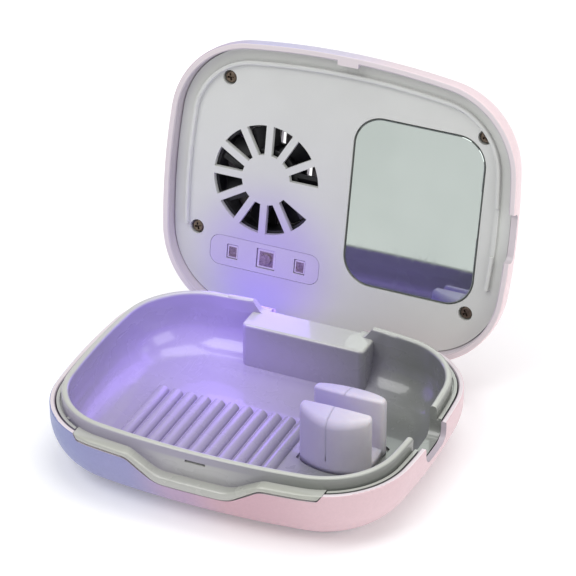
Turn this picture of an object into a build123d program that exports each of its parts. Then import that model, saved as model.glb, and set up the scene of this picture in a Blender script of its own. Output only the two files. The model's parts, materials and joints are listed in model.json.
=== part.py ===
from build123d import *
import math
import os

# Toothbrush sanitizer: a pocket clamshell case with a removable tray, and a lid that holds
# the ultraviolet lamps, a drying fan, a mirror, the battery and the electronics.
#
# Frame, in millimetres: +X runs along the case towards the handle notch, +Y towards the hinge,
# +Z up. The origin is the middle of the resting face under the case.
# Lid parts are drawn in the closed position and swung open about the hinge pin at export.

# ---- driving dimensions: case ----
HALF_LENGTH = 48.0
HALF_WIDTH = 38.8
SIDE_RADIUS = 187.0         # bow of the two short sides
FRONT_RADIUS = 212.0        # bow of the two long sides
CORNER_RADIUS = 22.9
EDGE_RADIUS = 13.0          # large round under the base and over the lid
WALL = 1.7                  # lid
BASE_WALL = 1.4
FOOT_HEIGHT = 0.8           # how far the shell stands above the ground on its pad
RIM_Z = 17.0                # top of the base shell
PARTING_GAP = 0.3
RIM_ROUND = 0.35
LID_DEPTH = 14.5
SLIP = 0.3                  # gap between parts that move past each other
SEAT_GAP = 0.15             # gap under the tray's front flange

# ---- driving dimensions: hinge ----
HINGE_Y = 35.2
HINGE_Z = 12.0
OPEN_ANGLE = 101.6          # from closed to the open stop
BARREL_RADIUS = 3.6
BARREL_HALF = 12.2
PIN_RADIUS = 1.0
PIN_BORE = 1.05             # running fit in the lid's barrel
PIN_SEAT = 1.01             # hole in the two lugs of the base
EAR_WIDTH = 2.7
EAR_DEPTH = 3.4             # reach of a lug in front of the pin
EAR_BELOW = 4.2
EAR_ABOVE = 3.0
EAR_ROUND = 2.2

# ---- driving dimensions: pad and weight plate ----
PAD_INSET = 9.5
PAD_SINK = 0.4              # how far the pad sits up into the shell
WEIGHT_SIZE = (56.0, 38.0)  # keeps the open case from tipping back
WEIGHT_Y = -4.5
WEIGHT_CORNER = 6.0
WEIGHT_THICKNESS = 0.85
WEIGHT_Z = 2.1

# ---- driving dimensions: tray ----
TRAY_FLOOR_Z = 4.5
TRAY_WALL = 1.5
BOWL_INSET = 4.8
BOWL_ROUND = 8.5
LIP_INSET = 3.0
LIP_Z = 20.1
LIP_ROUND = 0.8
LEDGE_INSET = 1.7
LEDGE_Z = 16.4
BLOCK_HALF = 17.0
BLOCK_FRONT_Y = 26.8
BLOCK_TOP_Z = 16.9
BLOCK_ROOF = 0.9
RIB_PITCH = 3.9
RIB_COUNT = 11
FIRST_RIB_X = -29.9
RIB_HALF = 1.7
RIB_HEIGHT = 1.5
RIB_Y = (-31.0, 8.0)

# ---- driving dimensions: front apron and handle notch ----
WAVE_HALF = 33.2
WAVE_LOW_Z = 10.6           # lower edge of the flange: its trough and its crests
WAVE_HIGH_Z = 15.5
FLANGE_LOW_Z = 13.0         # upper edge of the flange
FLANGE_HIGH_Z = RIM_Z
FLANGE_ROUND = 0.65
NOTCH_Y = -0.6
NOTCH_HALF = 6.4
NOTCH_FLOOR_Z = 12.0
NOTCH_X = 36.0              # where the gap through the right wall begins
NOTCH_MARGIN = 1.0          # how much wider the gap is in the tray than in the shell
COLLAR_WALL = 1.5

# ---- driving dimensions: brush clip ----
CLIP_X = (13.5, 32.3)
CLIP_TOP_Z = 20.1
CLIP_GAP_Y = (-2.9, 3.3)    # inner faces of the jaws at their ends
CLIP_PINCH = 0.3            # how far each inner face bows into the gap
CLIP_END_Y = (-5.4, 6.2)
CLIP_BELLY_Y = (-8.6, 9.6)
CLIP_SINK = 0.7             # how deep the clip sits in the tray floor
CLIP_BRIDGE = 2.5           # height of the bridge over the tray floor

# ---- driving dimensions: lid interior ----
PLATE_RECESS = 3.2
PLATE_THICKNESS = 1.4
PLATE_INSET = 1.95
BEAD_INSET = 5.15
BEAD_WIDTH = 1.1
BEAD_HEIGHT = 1.2
FAN_X, FAN_Y = -20.8, -0.8
FAN = (FAN_X, FAN_Y)
FAN_SIZE = 30.0
FAN_DEPTH = 6.0
FAN_HOLE_PITCH = 24.0
DUCT_RADIUS = 13.9
HUB_RADIUS = 8.0
SHAFT_RADIUS = 0.75
BEARING_RADIUS = 1.75
BLADE_COUNT = 7
BLADE_ANGLE = 36
POLE_ANGLES = (0, 90, 180, 270)
GRILLE_OUTER = 14.6
GRILLE_INNER = 6.7
GRILLE_SPOKE = 1.9
GRILLE_POSITIONS = 12
GRILLE_CLOSED_AT = 15.0     # middle of the one closed position, in degrees
INLET_PITCH = 4.0
INLET_WIDTH = 1.4
INLET_REACH = 11.0
MIRROR_CENTRE = (20.1, -1.1)
MIRROR_SIZE = (35.0, 44.4)
MIRROR_CORNER = 7.4
MIRROR_THICKNESS = 1.2
SCREW_PLACES = [(-33.0, -26.0), (-38.9, 15.7), (36.9, -24.3), (36.6, 22.6)]
SCREW_HEAD = 1.6
SCREW_SHANK = 0.95
SCREW_LENGTH = 5.5
BOSS_RADIUS = 2.4
LED_Y = 20.5
LED_X = -19.0
LED_PITCH = 9.5
LED_COVER_SIZE = (30.8, 8.2)
LED_COVER_CORNER = 2.8
LED_COVER_SHIFT = -0.4      # the cover's middle, from the middle lamp

# ---- driving dimensions: power key, charging socket, boards, battery ----
BUTTON_X, BUTTON_Y = 0.0, -20.5
BUTTON_RADIUS = 4.1
BUTTON_TRAVEL = 0.4
BUTTON_PROUD = 0.5
BUTTON_FLANGE = 0.9
LIGHT_RING_WIDTH = 0.95
LIGHT_RING_DEPTH = 0.9
SWITCH_HALF = 3.0
PLUNGER_RADIUS = 1.75
PLUNGER_DEPTH = 0.8
PORT_X = (-45.7, -38.4)
PORT_Y = -4.0
PORT_HEIGHT = 3.2
PORT_WIDTH = 8.9
PORT_METAL = 0.35
BOARD_POSTS = [(-26.0, -20.2), (1.5, -31.0)]
BOARD_THICKNESS = 1.0
CHARGE_BOARD_THICKNESS = 0.8
BATTERY_X = (5.0, 35.0)
BATTERY_Y = (-18.0, 17.0)
BATTERY_THICKNESS = 4.0

# ---- worked out from the driving dimensions ----
LID_RIM_Z = RIM_Z + PARTING_GAP
LID_TOP_Z = LID_RIM_Z + LID_DEPTH
LID_INNER_Z = LID_TOP_Z - WALL
PLATE_Z = LID_RIM_Z + PLATE_RECESS
PLATE_BACK_Z = PLATE_Z + PLATE_THICKNESS
SHELL_FLOOR_Z = FOOT_HEIGHT + 2.0
TRAY_BOTTOM_Z = TRAY_FLOOR_Z - TRAY_WALL
CLIP_BASE_Z = TRAY_FLOOR_Z - CLIP_SINK
SCREW_SEAT_Z = PLATE_Z + 1.7
FAN_Z = PLATE_BACK_Z + 0.05
FAN_BACK_Z = FAN_Z + FAN_DEPTH
FAN_DISC_Z = FAN_BACK_Z - 1.0
CORE_Z = (FAN_Z + 3.0, FAN_Z + 4.4)
MIRROR_Z = PLATE_Z + 0.1
MIRROR_POCKET_Z = PLATE_Z + 1.5
LED_BOARD_Z = PLATE_BACK_Z + 0.1
BOARD_Z = PLATE_BACK_Z + 2.1
BOARD_TOP_Z = BOARD_Z + BOARD_THICKNESS
SWITCH_TOP_Z = LID_INNER_Z - 1.7
CHARGE_BOARD_Z = PLATE_BACK_Z + 0.05
PORT_Z = CHARGE_BOARD_Z + CHARGE_BOARD_THICKNESS + PORT_HEIGHT / 2
BATTERY_Z = MIRROR_POCKET_Z + 1.0
BATTERY_TOP_Z = BATTERY_Z + BATTERY_THICKNESS
REAR_Y = HALF_WIDTH + 5.0   # beyond the back of the case, for cuts that run out of it
FAR = 60.0                  # longer than any half extent of the case

NODES = {}


# ---- shared shapes ----
def box(x, y, z):
    """Box from three (low, high) pairs."""
    size = (x[1] - x[0], y[1] - y[0], z[1] - z[0])
    middle = ((x[0] + x[1]) / 2, (y[0] + y[1]) / 2, (z[0] + z[1]) / 2)
    return Pos(*middle) * Box(*size)


def disc(centre, radius, z):
    """Upright cylinder over centre, from z[0] to z[1]."""
    return Pos(centre[0], centre[1], (z[0] + z[1]) / 2) * Cylinder(radius, z[1] - z[0])


def ring(centre, inner, outer, z):
    return disc(centre, outer, z) - disc(centre, inner, z)


def rounded_plate(centre, size, corner, z):
    """Rounded rectangle from z[0] to z[1]."""
    face = Pos(centre[0], centre[1], z[0]) * RectangleRounded(size[0], size[1], corner)
    return extrude(face, z[1] - z[0])


def corner_centre():
    """Centre of the corner arc that meets the side and front arcs tangentially."""
    side_x = HALF_LENGTH - SIDE_RADIUS
    front_y = HALF_WIDTH - FRONT_RADIUS
    side_reach = SIDE_RADIUS - CORNER_RADIUS
    front_reach = FRONT_RADIUS - CORNER_RADIUS
    span = math.hypot(side_x, front_y)
    along = (side_reach**2 - front_reach**2 + span**2) / (2 * span)
    across = math.sqrt(side_reach**2 - along**2)
    x = side_x - along * side_x / span - across * front_y / span
    y = along * front_y / span - across * side_x / span
    return x, y


def outline(inset=0.0):
    """Face of the case outline: eight tangent arcs, moved inwards by inset."""
    cx, cy = corner_centre()
    low = math.atan2(cy, cx - (HALF_LENGTH - SIDE_RADIUS))
    high = math.atan2(cy - (HALF_WIDTH - FRONT_RADIUS), cx)
    half = math.pi / 2
    arcs = []
    for quarter in range(4):
        sx = 1 if quarter in (0, 3) else -1
        sy = 1 if quarter < 2 else -1
        along_x = quarter % 2 == 0
        start, end = (low, high) if along_x else (half - high, half - low)
        turn = quarter * half
        arcs.append(((sx * cx, sy * cy), CORNER_RADIUS, turn + start, turn + end))
        if along_x:
            centre = (0, sy * (HALF_WIDTH - FRONT_RADIUS))
            arcs.append((centre, FRONT_RADIUS, turn + high, turn + 2 * half - high))
        else:
            centre = (sx * (HALF_LENGTH - SIDE_RADIUS), 0)
            arcs.append((centre, SIDE_RADIUS, turn + half - low, turn + half + low))
    edges = []
    for centre, radius, start, end in arcs:
        points = []
        for angle in (start, (start + end) / 2, end):
            reach = radius - inset
            points.append((centre[0] + reach * math.cos(angle), centre[1] + reach * math.sin(angle)))
        edges.append(ThreePointArc(*points))
    return make_face(edges)


def slab(inset, z):
    """Straight-sided plate of the case outline."""
    return extrude(Pos(0, 0, z[0]) * outline(inset), z[1] - z[0])


def band(inner_inset, outer_inset, z):
    """Straight-sided ring between two insets of the case outline."""
    return slab(outer_inset, z) - slab(inner_inset, z)


def bowl(inset, z, edge_radius):
    """Outline plate with a large round along its lower edge."""
    body = slab(inset, z)
    return fillet(body.faces().sort_by(Axis.Z)[0].edges(), edge_radius)


def dome(inset, z, edge_radius):
    """Outline plate with a large round along its upper edge."""
    body = slab(inset, z)
    return fillet(body.faces().sort_by(Axis.Z)[-1].edges(), edge_radius)


def prism_y(profile, y):
    """Sweep a profile drawn in X and Z along Y, from y[0] to y[1]."""
    return extrude(Plane.XZ.offset(-y[0]) * profile, -(y[1] - y[0]))


def pin_x(radius, x):
    """Cylinder on the hinge line, from x[0] to x[1]."""
    body = Rot(0, 90, 0) * Cylinder(radius, x[1] - x[0])
    return Pos((x[0] + x[1]) / 2, HINGE_Y, HINGE_Z) * body


def lead(points, bend, radius):
    """Round wire along straight runs joined by tangent bends."""
    path = FilletPolyline(*points, radius=bend)
    section = Plane(origin=path @ 0, z_dir=path % 0) * Circle(radius)
    return sweep(section, path=path)


def save(name, shape):
    NODES[name] = shape


def save_lid(name, shape):
    """Swing a lid part open about the hinge pin."""
    opening = Pos(0, HINGE_Y, HINGE_Z) * Rot(-OPEN_ANGLE, 0, 0) * Pos(0, -HINGE_Y, -HINGE_Z)
    NODES[name] = opening * shape


# ---- cuts that several parts share ----
def wave_face(low_z, high_z):
    """Region over a wavy line that dips from high_z at both ends to low_z in the middle."""
    crest = 17.6
    trough = 9.5
    end_slope = 1.4
    end_rise = 2.0
    points = [
        (-WAVE_HALF, high_z + end_rise),
        (-WAVE_HALF + end_slope, high_z),
        (-crest, high_z),
        (-trough, low_z),
        (trough, low_z),
        (crest, high_z),
        (WAVE_HALF - end_slope, high_z),
        (WAVE_HALF, high_z + end_rise),
    ]
    wave = FilletPolyline(*points, radius=[1.0, 4.5, 8.0, 8.0, 4.5, 1.0])
    corners = [points[-1], (WAVE_HALF, FAR), (-WAVE_HALF, FAR), points[0]]
    return make_face([*wave.edges(), *Polyline(*corners).edges()])


def above_wave(low_z=WAVE_LOW_Z, high_z=WAVE_HIGH_Z):
    """Everything over the wavy edge at the front of the case."""
    return prism_y(wave_face(low_z, high_z), (-FAR, -20.0))


def handle_notch(half, floor_z, top_z):
    """Round-bottomed gap through the right wall for the brush handle."""
    gap = box((NOTCH_X, FAR), (NOTCH_Y - half, NOTCH_Y + half), (floor_z, top_z))
    return fillet(gap.edges().filter_by(Axis.X).group_by(Axis.Z)[0], 3.0)


def rear_clearance():
    """Room over the rear edge for the lid's rim as it swings round the pin."""
    reach = RIM_Z + PARTING_GAP - HINGE_Z - SLIP
    corner = box((-34.5, 34.5), (HINGE_Y, REAR_Y), (HINGE_Z, LIP_Z + 1))
    return corner - pin_x(reach, (-35.0, 35.0))


def arm_window():
    """Opening in the rear wall that the lid's hinge arm swings through."""
    half = BARREL_HALF + SLIP
    return box((-half, half), (HINGE_Y - 1.5, REAR_Y), (HINGE_Z - 4.6, RIM_Z + 2))


# ---- base ----
def base_shell():
    shell = bowl(0, (FOOT_HEIGHT, RIM_Z), EDGE_RADIUS)
    shell -= bowl(BASE_WALL, (SHELL_FLOOR_Z, RIM_Z + 1), EDGE_RADIUS - BASE_WALL)
    shell = fillet(shell.faces().sort_by(Axis.Z)[-1].edges(), RIM_ROUND)
    shell -= above_wave(WAVE_LOW_Z - SEAT_GAP, WAVE_HIGH_Z - SEAT_GAP)
    shell -= handle_notch(NOTCH_HALF, NOTCH_FLOOR_Z, RIM_Z + 3)
    shell -= rear_clearance()
    shell -= slab(PAD_INSET - 0.1, (0, FOOT_HEIGHT + PAD_SINK + 0.05))
    shell -= weight_outline(0.2, (WEIGHT_Z, SHELL_FLOOR_Z + 1))
    shell += hinge_ears()
    shell -= arm_window()
    return shell - pin_x(PIN_SEAT, (-FAR, FAR))


def hinge_ears():
    """Two lugs on the rear wall that hold the ends of the hinge pin."""
    ears = []
    inner = BARREL_HALF + SLIP
    for side in (-1, 1):
        x = sorted((side * inner, side * (inner + EAR_WIDTH)))
        lug = box(x, (HINGE_Y - EAR_DEPTH, REAR_Y), (HINGE_Z - EAR_BELOW, HINGE_Z + EAR_ABOVE))
        front = lug.edges().filter_by(Axis.X).group_by(Axis.Y)[0]
        ears.append(fillet(front, EAR_ROUND))
    return ears[0] + ears[1] & bowl(0.6, (FOOT_HEIGHT, RIM_Z), EDGE_RADIUS - 0.6)


def rest_pad():
    pad = slab(PAD_INSET, (0, FOOT_HEIGHT + PAD_SINK))
    return fillet(pad.faces().sort_by(Axis.Z)[0].edges(), 0.3)


def weight_outline(grow, z):
    size = (WEIGHT_SIZE[0] + 2 * grow, WEIGHT_SIZE[1] + 2 * grow)
    return rounded_plate((0, WEIGHT_Y), size, WEIGHT_CORNER + grow, z)


def weight_plate():
    """Steel plate between the shell floor and the tray that keeps the open case standing."""
    return weight_outline(0, (WEIGHT_Z, WEIGHT_Z + WEIGHT_THICKNESS))


def tray():
    body = bowl(BOWL_INSET - TRAY_WALL, (TRAY_BOTTOM_Z, LEDGE_Z), BOWL_ROUND + TRAY_WALL)
    lip = band(BOWL_INSET, LIP_INSET, (LEDGE_Z - 1.2, LIP_Z))
    lip = fillet(lip.faces().sort_by(Axis.Z)[-1].edges(), LIP_ROUND)
    body += lip
    ledge = slab(LEDGE_INSET, (LEDGE_Z - 1.2, LEDGE_Z))
    ledge += band(LEDGE_INSET + 0.8, LEDGE_INSET, (LEDGE_Z - 1.2, RIM_Z))
    front = box((-WAVE_HALF, WAVE_HALF), (-FAR, -25.0), (0, FAR))
    apron_room = front & band(LIP_INSET, -1.0, (LEDGE_Z - 3, LIP_Z))
    body += ledge - apron_room
    apron = slab(LIP_INSET, (WAVE_LOW_Z - 2, LEDGE_Z)) & above_wave()
    body += apron + front_flange() + notch_collar()
    body -= bowl(BOWL_INSET, (TRAY_FLOOR_Z, LIP_Z + 1), BOWL_ROUND)
    body += tray_block()
    body += tray_ribs()
    body -= tray_cuts()
    return body + alignment_nib()


def front_flange():
    """Wavy finger edge at the front, with a rounded nose."""
    flange = slab(0, (WAVE_LOW_Z - 2, RIM_Z)) & above_wave()
    flange -= above_wave(FLANGE_LOW_Z, FLANGE_HIGH_Z)
    nose = [face for face in flange.faces() if abs(face.normal_at().Z) < 0.1 and face.normal_at().Y < -0.5]
    rims = [edge for face in nose for edge in face.edges() if abs(edge.tangent_at(0.5).X) > 0.5]
    return fillet(rims, FLANGE_ROUND)


def notch_collar():
    """Seat round the handle gap, which closes the room between the tray and the shell."""
    half = NOTCH_HALF + NOTCH_MARGIN + COLLAR_WALL
    block = box((NOTCH_X, FAR), (NOTCH_Y - half, NOTCH_Y + half), (NOTCH_FLOOR_Z - COLLAR_WALL, LEDGE_Z))
    return block & bowl(LEDGE_INSET, (SHELL_FLOOR_Z + SLIP, LEDGE_Z), EDGE_RADIUS - LEDGE_INSET)


def tray_block():
    """Raised housing at the back of the tray that covers the hinge barrel."""
    outer = box((-BLOCK_HALF, BLOCK_HALF), (BLOCK_FRONT_Y, 36.0), (TRAY_BOTTOM_Z, BLOCK_TOP_Z))
    outer = fillet(outer.edges().filter_by(Axis.Z).group_by(Axis.Y)[0], 1.6)
    outer = fillet(outer.faces().sort_by(Axis.Z)[-1].edges().group_by(Axis.Y)[0], 0.8)
    return outer & bowl(LEDGE_INSET, (TRAY_BOTTOM_Z, RIM_Z), EDGE_RADIUS - LEDGE_INSET)


def tray_ribs():
    """Rounded drying ribs across the left and middle of the floor."""
    ribs = []
    for index in range(RIB_COUNT):
        x = FIRST_RIB_X + RIB_PITCH * index
        base_line = [(x + RIB_HALF, TRAY_FLOOR_Z - 0.2), (x - RIB_HALF, TRAY_FLOOR_Z - 0.2)]
        crown = ThreePointArc(base_line[1], (x, TRAY_FLOOR_Z + RIB_HEIGHT), base_line[0])
        face = make_face([crown, Line(*base_line)])
        ribs.append(prism_y(face, RIB_Y))
    inside = bowl(BOWL_INSET - 0.4, (TRAY_FLOOR_Z - 0.4, LIP_Z), BOWL_ROUND + 0.4)
    return Compound(children=[rib & inside for rib in ribs])


def tray_cuts():
    """Hinge cavity, arm room, rear lip gap, handle gap, latch slot and clip recess."""
    cavity_half = BLOCK_HALF - 1.2
    arm_half = BARREL_HALF + SLIP + 0.1
    cavity = box((-cavity_half, cavity_half), (BLOCK_FRONT_Y + 1.2, REAR_Y), (0, BLOCK_TOP_Z - BLOCK_ROOF))
    arm_room = box((-arm_half, arm_half), (HINGE_Y + 0.1, REAR_Y), (0, FAR))
    lip_gap = prism_y(lip_gap_face(), (30.0, REAR_Y))
    slot = box((-2.7, 2.7), (-HALF_WIDTH, -HALF_WIDTH + LIP_INSET + 0.8), (17.2, 17.9))
    recess = clip_plan(0.5)
    return (
        cavity
        + arm_room
        + lip_gap
        + slot
        + extrude(Pos(0, 0, CLIP_BASE_Z) * recess, 5.0)
        + handle_notch(NOTCH_HALF + NOTCH_MARGIN, NOTCH_FLOOR_Z, LIP_Z + 3)
        + rear_clearance()
    )


def lip_gap_face():
    """Dip in the rear lip over the hinge block, with sloping ends."""
    high = LIP_Z + 1.0
    points = [(-17.4, high), (-14.4, BLOCK_TOP_Z), (14.4, BLOCK_TOP_Z), (17.4, high)]
    dip = FilletPolyline(*points, radius=[1.5, 1.5])
    return make_face([*dip.edges(), Line(points[-1], points[0])])


def alignment_nib():
    return disc((-36.6, -29.9), 0.6, (LEDGE_Z - 0.5, RIM_Z + 0.2))


def jaw_plan(side, grow=0.0):
    """Plan of one clip jaw: flat inner side, bellied outer side, blunt ends."""
    index = 0 if side < 0 else 1
    gap_y = CLIP_GAP_Y[index]
    end_y = CLIP_END_Y[index] + side * grow
    belly_y = CLIP_BELLY_Y[index] + side * grow
    x0, x1 = CLIP_X[0] - grow, CLIP_X[1] + grow
    middle = (x0 + x1) / 2
    inner = ThreePointArc((x0, gap_y), (middle, gap_y - side * CLIP_PINCH), (x1, gap_y))
    right = Line((x1, gap_y), (x1, end_y))
    outer = ThreePointArc((x1, end_y), (middle, belly_y), (x0, end_y))
    left = Line((x0, end_y), (x0, gap_y))
    return make_face([inner, right, outer, left])


def clip_plan(grow):
    """Plan of the whole clip: both jaws and the bridge between them."""
    x0, x1 = CLIP_X[0] - grow, CLIP_X[1] + grow
    bridge = Pos((x0 + x1) / 2, sum(CLIP_GAP_Y) / 2) * Rectangle(x1 - x0, 8.0)
    return jaw_plan(-1, grow) + jaw_plan(1, grow) + bridge


def brush_clip():
    """One soft U-shaped piece: two jaws that grip the handle over a low bridge."""
    jaws = []
    for side in (-1, 1):
        jaw = extrude(Pos(0, 0, CLIP_BASE_Z) * jaw_plan(side), CLIP_TOP_Z - CLIP_BASE_Z)
        jaws.append(fillet(jaw.faces().sort_by(Axis.Z)[-1].edges(), 1.5))
    bridge_y = (CLIP_GAP_Y[0] - 1.5, CLIP_GAP_Y[1] + 1.5)
    bridge = box(CLIP_X, bridge_y, (CLIP_BASE_Z, TRAY_FLOOR_Z + CLIP_BRIDGE))
    return jaws[0] + bridge + jaws[1]


def hinge_pin():
    half = BARREL_HALF + SLIP + EAR_WIDTH
    body = pin_x(PIN_RADIUS, (-half, half))
    return chamfer(body.edges(), 0.2)


# ---- lid: shell ----
def lid_shell():
    shell = dome(0, (LID_RIM_Z, LID_TOP_Z), EDGE_RADIUS)
    shell -= dome(WALL, (LID_RIM_Z - 1, LID_INNER_Z), EDGE_RADIUS - WALL)
    shell = fillet(shell.faces().sort_by(Axis.Z)[0].edges(), RIM_ROUND)
    shell += screw_bosses()
    shell += latch_tab()
    shell -= lid_notch()
    shell += hinge_arm()
    shell -= button_seat()
    shell -= port_opening()
    shell -= air_inlets()
    return shell - pin_x(PIN_BORE, (-FAR, FAR))


def inside_lid(margin):
    return dome(margin, (LID_RIM_Z, LID_TOP_Z - margin), EDGE_RADIUS - margin)


def screw_bosses():
    bosses = []
    for place in SCREW_PLACES:
        boss = disc(place, BOSS_RADIUS, (PLATE_BACK_Z + 1.4, LID_TOP_Z))
        boss -= disc(place, SCREW_SHANK + 0.03, (PLATE_BACK_Z, PLATE_BACK_Z + 6.0))
        bosses.append(boss & inside_lid(WALL / 2))
    return bosses[0] + bosses[1] + bosses[2] + bosses[3]


def latch_tab():
    """Small pad inside the front rim that snaps over the tray lip."""
    pad = box((-2.8, 2.8), (-HALF_WIDTH, -HALF_WIDTH + LIP_INSET - SLIP), (LID_RIM_Z, LID_RIM_Z + 1.5))
    return pad & slab(WALL / 2, (LID_RIM_Z, LID_RIM_Z + 3))


def lid_notch():
    """Shallow gap in the right rim, the upper half of the handle opening."""
    gap = box((NOTCH_X, FAR), (NOTCH_Y - NOTCH_HALF, NOTCH_Y + NOTCH_HALF), (0, LID_RIM_Z + 2.4))
    return fillet(gap.edges().filter_by(Axis.X).group_by(Axis.Z)[-1], 1.6)


def hinge_arm():
    """Hinge barrel and the arm that joins it to the rear wall of the lid."""
    outer_y = HALF_WIDTH - 0.25
    x = (-BARREL_HALF, BARREL_HALF)
    arm = box(x, (HINGE_Y + 0.6, outer_y), (HINGE_Z, LID_RIM_Z + 2.0))
    return pin_x(BARREL_RADIUS, x) + arm


def button_seat():
    """Bore for the power key, with a step for the light ring."""
    centre = (BUTTON_X, BUTTON_Y)
    bore = disc(centre, BUTTON_RADIUS + SLIP, (LID_INNER_Z - 1, LID_TOP_Z + 1))
    step_radius = BUTTON_RADIUS + SLIP + LIGHT_RING_WIDTH + 0.05
    return bore + disc(centre, step_radius, (LID_TOP_Z - LIGHT_RING_DEPTH, LID_TOP_Z + 1))


def port_body(x, grow):
    """Flat-oval body of the charging socket, grown on every side."""
    height = PORT_HEIGHT + 2 * grow
    face = RectangleRounded(PORT_WIDTH + 2 * grow, height, height / 2 - 0.01)
    mouth = Plane(origin=(x[0], PORT_Y, PORT_Z), x_dir=(0, 1, 0), z_dir=(1, 0, 0))
    return extrude(mouth * face, x[1] - x[0])


def port_opening():
    return port_body((-FAR, -42.0), 0.2)


def air_inlets():
    """Five round-ended slots in the outer face, over the fan."""
    slots = []
    for index in range(-2, 3):
        aside = INLET_PITCH * index
        half = math.sqrt(INLET_REACH**2 - aside**2)
        slot = SlotOverall(2 * half, INLET_WIDTH, rotation=90)
        face = Pos(FAN_X + aside, FAN_Y, LID_INNER_Z - 1) * slot
        slots.append(extrude(face, WALL + 2))
    return slots[0] + slots[1] + slots[2] + slots[3] + slots[4]


# ---- lid: inner plate ----
def inner_plate():
    plate = slab(PLATE_INSET, (PLATE_Z, PLATE_BACK_Z))
    plate += mirror_dish()
    for place in SCREW_PLACES:
        plate += disc(place, 3.1, (PLATE_Z, PLATE_BACK_Z + 1.3))
    for place in BOARD_POSTS:
        plate += disc(place, 1.7, (PLATE_Z, BOARD_Z))
    plate += fan_ribs()
    plate &= inside_lid(PLATE_INSET)
    plate -= mirror_pocket()
    for place in SCREW_PLACES:
        plate -= disc(place, SCREW_HEAD + 0.3, (PLATE_Z - 1, SCREW_SEAT_Z))
        plate -= disc(place, SCREW_SHANK + 0.2, (PLATE_Z, PLATE_BACK_Z + 2))
    for place in BOARD_POSTS:
        plate -= disc(place, 0.65, (PLATE_BACK_Z + 0.4, BOARD_Z + 1))
    plate -= grille_slots()
    plate -= led_opening(0)
    return plate + plate_bead()


def plate_bead():
    """Raised bead round the plate, open at the back and low at the handle notch."""
    z = (PLATE_Z - BEAD_HEIGHT, PLATE_Z + 0.2)
    bead = band(BEAD_INSET + BEAD_WIDTH, BEAD_INSET, z)
    lower = bead.faces().sort_by(Axis.Z)[0].edges()
    bead = fillet(lower, 0.35)
    bead -= box((-FAR, FAR), (15.0, FAR), (0, FAR))
    low_y = (NOTCH_Y - NOTCH_HALF, NOTCH_Y + NOTCH_HALF)
    return bead - box((NOTCH_X, FAR), low_y, (0, PLATE_Z - BEAD_HEIGHT / 2))


def mirror_pocket():
    size = (MIRROR_SIZE[0] + 0.8, MIRROR_SIZE[1] + 0.8)
    return rounded_plate(MIRROR_CENTRE, size, MIRROR_CORNER + 0.4, (PLATE_Z - 1, MIRROR_POCKET_Z))


def mirror_dish():
    size = (MIRROR_SIZE[0] + 2.8, MIRROR_SIZE[1] + 2.8)
    return rounded_plate(MIRROR_CENTRE, size, MIRROR_CORNER + 1.4, (PLATE_Z, MIRROR_POCKET_Z + 1.0))


def grille_slots():
    """Ring of sector slots between parallel-sided spokes; one position stays closed."""
    z = (PLATE_Z - 1, PLATE_BACK_Z + 1)
    disc_ring = ring(FAN, GRILLE_INNER, GRILLE_OUTER, z)
    step = 360 / GRILLE_POSITIONS
    for index in range(GRILLE_POSITIONS):
        spoke = Pos(GRILLE_OUTER / 2, 0, (z[0] + z[1]) / 2) * Box(GRILLE_OUTER + 2, GRILLE_SPOKE, 6)
        disc_ring -= Pos(FAN_X, FAN_Y, 0) * Rot(0, 0, index * step) * spoke
    reach = 2 * GRILLE_OUTER
    wedge_points = [(0, 0)]
    for side in (-1, 1):
        angle = math.radians(GRILLE_CLOSED_AT + side * step / 2)
        wedge_points.append((reach * math.cos(angle), reach * math.sin(angle)))
    wedge = make_face(Polyline(*wedge_points, close=True))
    return disc_ring - extrude(Pos(FAN_X, FAN_Y, z[0]) * wedge, z[1] - z[0])


def led_opening(margin):
    size = (LED_COVER_SIZE[0] - 2 * margin, LED_COVER_SIZE[1] - 2 * margin)
    centre = (LED_X + LED_COVER_SHIFT, LED_Y)
    return rounded_plate(centre, size, LED_COVER_CORNER - margin, (PLATE_Z - 1, PLATE_BACK_Z + 1))


def fan_ribs():
    """Four corner ribs behind the grille that locate the fan."""
    gap = FAN_SIZE / 2 + 0.15
    ribs = []
    for sx in (-1, 1):
        for sy in (-1, 1):
            x = sorted((FAN_X + sx * (gap - 4), FAN_X + sx * (gap + 0.6)))
            y = sorted((FAN_Y + sy * (gap - 4), FAN_Y + sy * (gap + 0.6)))
            ribs.append(box(x, y, (PLATE_Z + 0.7, FAN_Z + 3.5)))
    frame = box((FAN_X - gap, FAN_X + gap), (FAN_Y - gap, FAN_Y + gap), (PLATE_BACK_Z, FAN_BACK_Z))
    return ribs[0] + ribs[1] + ribs[2] + ribs[3] - frame


def lid_screws():
    """Four pan-head cross-recess screws."""
    screws = []
    for place in SCREW_PLACES:
        head_z = SCREW_SEAT_Z - 1.2
        head = disc(place, SCREW_HEAD, (head_z, SCREW_SEAT_Z))
        head = fillet(head.faces().sort_by(Axis.Z)[0].edges(), 0.5)
        cross = Box(1.9, 0.5, 1.4) + Box(0.5, 1.9, 1.4)
        head -= Pos(place[0], place[1], head_z) * Rot(0, 0, 20 + place[0]) * cross
        screws.append(head + disc(place, SCREW_SHANK, (SCREW_SEAT_Z, SCREW_SEAT_Z + SCREW_LENGTH)))
    return Compound(children=screws)


def mirror():
    z = (MIRROR_Z, MIRROR_Z + MIRROR_THICKNESS)
    glass = rounded_plate(MIRROR_CENTRE, MIRROR_SIZE, MIRROR_CORNER, z)
    return chamfer(glass.faces().sort_by(Axis.Z)[0].edges(), 0.2)


def mirror_tape():
    size = (MIRROR_SIZE[0] - 6, MIRROR_SIZE[1] - 6)
    z = (MIRROR_Z + MIRROR_THICKNESS, MIRROR_POCKET_Z)
    return rounded_plate(MIRROR_CENTRE, size, MIRROR_CORNER - 2, z)


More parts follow.
